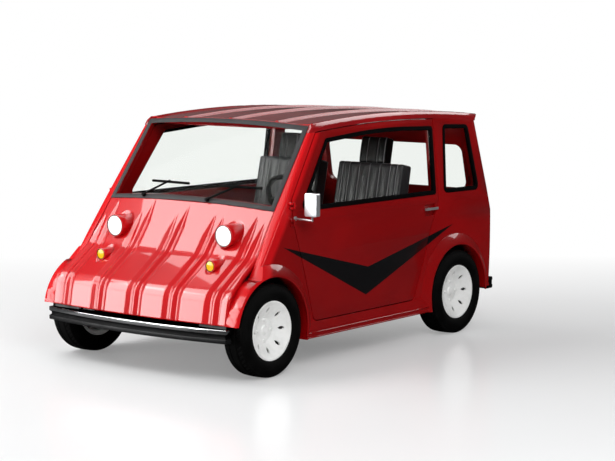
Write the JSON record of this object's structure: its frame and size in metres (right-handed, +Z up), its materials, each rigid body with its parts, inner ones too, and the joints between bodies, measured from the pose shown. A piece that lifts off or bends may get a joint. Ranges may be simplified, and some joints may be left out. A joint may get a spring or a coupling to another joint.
{
  "type": "electric city car",
  "caption": "Small two-seat electric city car with a tall upright body, round lamps, a fluted front panel, wide side doors, a tailgate and ten-inch wheels.",
  "frame": {"origin": "on the ground in the car's middle plane, straight below the front axle", "axes": "+Z up, the car faces -Y, and its own left side is at +X"},
  "size_m": [1.398, 2.328, 1.2309],
  "materials": {
    "red_paint": "glossy",
    "red_roof": "glossy",
    "seal_rubber": "matt",
    "clear_glass": "clear",
    "lens_glass": "clear",
    "tail_lens": "glossy",
    "chromed": "polished",
    "black_plastic": "matt",
    "grey_plastic": "matt",
    "seat_hide": "satin",
    "white_wheel": "satin",
    "tyre_rubber": "matt",
    "chassis_black": "satin"
  },
  "bodies": {
    "body": {"body_side_left": "red_paint", "body_side_right": "red_paint", "windscreen_frame": "red_paint", "window_seals": "seal_rubber", "fixed_windows": "clear_glass", "nose_panel": "red_paint", "roof_panel": "red_roof", "rear_panel": "red_paint", "floor_pan": "chassis_black", "wheelhouses": "chassis_black", "front_suspension": "chassis_black", "rear_axle": "chassis_black", "front_bumper": "black_plastic", "bumper_strips": "chromed", "rear_bumper": "black_plastic", "lamp_housings": "red_paint", "lamp_lenses": "lens_glass", "tail_lamps": "tail_lens", "seat_cushions": "seat_hide", "seat_backs": "seat_hide", "seat_base": "chassis_black", "battery_block": "grey_plastic", "motor_block": "grey_plastic", "dashboard": "black_plastic", "wipers": "black_plastic"},
    "door_left": {"door_left": "red_paint", "door_seal_left": "seal_rubber", "door_glass_left": "clear_glass", "door_fittings_left": "chromed"},
    "door_right": {"door_right": "red_paint", "door_seal_right": "seal_rubber", "door_glass_right": "clear_glass", "door_fittings_right": "chromed"},
    "tailgate": {"tailgate": "red_paint", "tailgate_glass": "clear_glass"},
    "steering_wheel": {"steering_wheel": "black_plastic"},
    "knuckle_left": {"knuckle_left": "chassis_black"},
    "knuckle_right": {"knuckle_right": "chassis_black"},
    "wheel_front_left": {"rim_front_left": "white_wheel", "tyre_front_left": "tyre_rubber"},
    "wheel_front_right": {"rim_front_right": "white_wheel", "tyre_front_right": "tyre_rubber"},
    "wheel_rear_left": {"rim_rear_left": "white_wheel", "tyre_rear_left": "tyre_rubber"},
    "wheel_rear_right": {"rim_rear_right": "white_wheel", "tyre_rear_right": "tyre_rubber"}
  },
  "joints": [
    {"name": "door_left_hinge", "type": "hinge", "parent": "body", "child": "door_left", "pos_m": [0.614, 0.1995, 0.77], "axis": [0, 0, -1], "range_deg": [0, 65]},
    {"name": "door_right_hinge", "type": "hinge", "parent": "body", "child": "door_right", "pos_m": [-0.614, 0.1995, 0.77], "axis": [0, 0, 1], "range_deg": [0, 65]},
    {"name": "tailgate_hinge", "type": "hinge", "parent": "body", "child": "tailgate", "pos_m": [0, 1.856, 1.14], "axis": [1, 0, 0], "range_deg": [0, 80]},
    {"name": "steering_wheel_turn", "type": "hinge", "parent": "body", "child": "steering_wheel", "pos_m": [0.285, 0.598, 0.779], "axis": [0, 0.8599, 0.5105], "range_deg": [-450, 450]},
    {"name": "steer_left", "type": "hinge", "parent": "body", "child": "knuckle_left", "pos_m": [0.54, 0, 0.228], "axis": [0, 0, 1], "range_deg": [-28, 28]},
    {"name": "steer_right", "type": "hinge", "parent": "body", "child": "knuckle_right", "pos_m": [-0.54, 0, 0.228], "axis": [0, 0, 1], "range_deg": [-28, 28]},
    {"name": "wheel_front_left_spin", "type": "hinge", "parent": "knuckle_left", "child": "wheel_front_left", "pos_m": [0.58, 0, 0.228], "axis": [1, 0, 0], "continuous": true},
    {"name": "wheel_front_right_spin", "type": "hinge", "parent": "knuckle_right", "child": "wheel_front_right", "pos_m": [-0.58, 0, 0.228], "axis": [1, 0, 0], "continuous": true},
    {"name": "wheel_rear_left_spin", "type": "hinge", "parent": "body", "child": "wheel_rear_left", "pos_m": [0.58, 1.575, 0.228], "axis": [1, 0, 0], "continuous": true},
    {"name": "wheel_rear_right_spin", "type": "hinge", "parent": "body", "child": "wheel_rear_right", "pos_m": [-0.58, 1.575, 0.228], "axis": [1, 0, 0], "continuous": true}
  ],
  "couplings": [
    {"joint": "steer_left", "follows": "steering_wheel_turn", "ratio": 0.062222},
    {"joint": "steer_right", "follows": "steering_wheel_turn", "ratio": 0.062222}
  ]
}
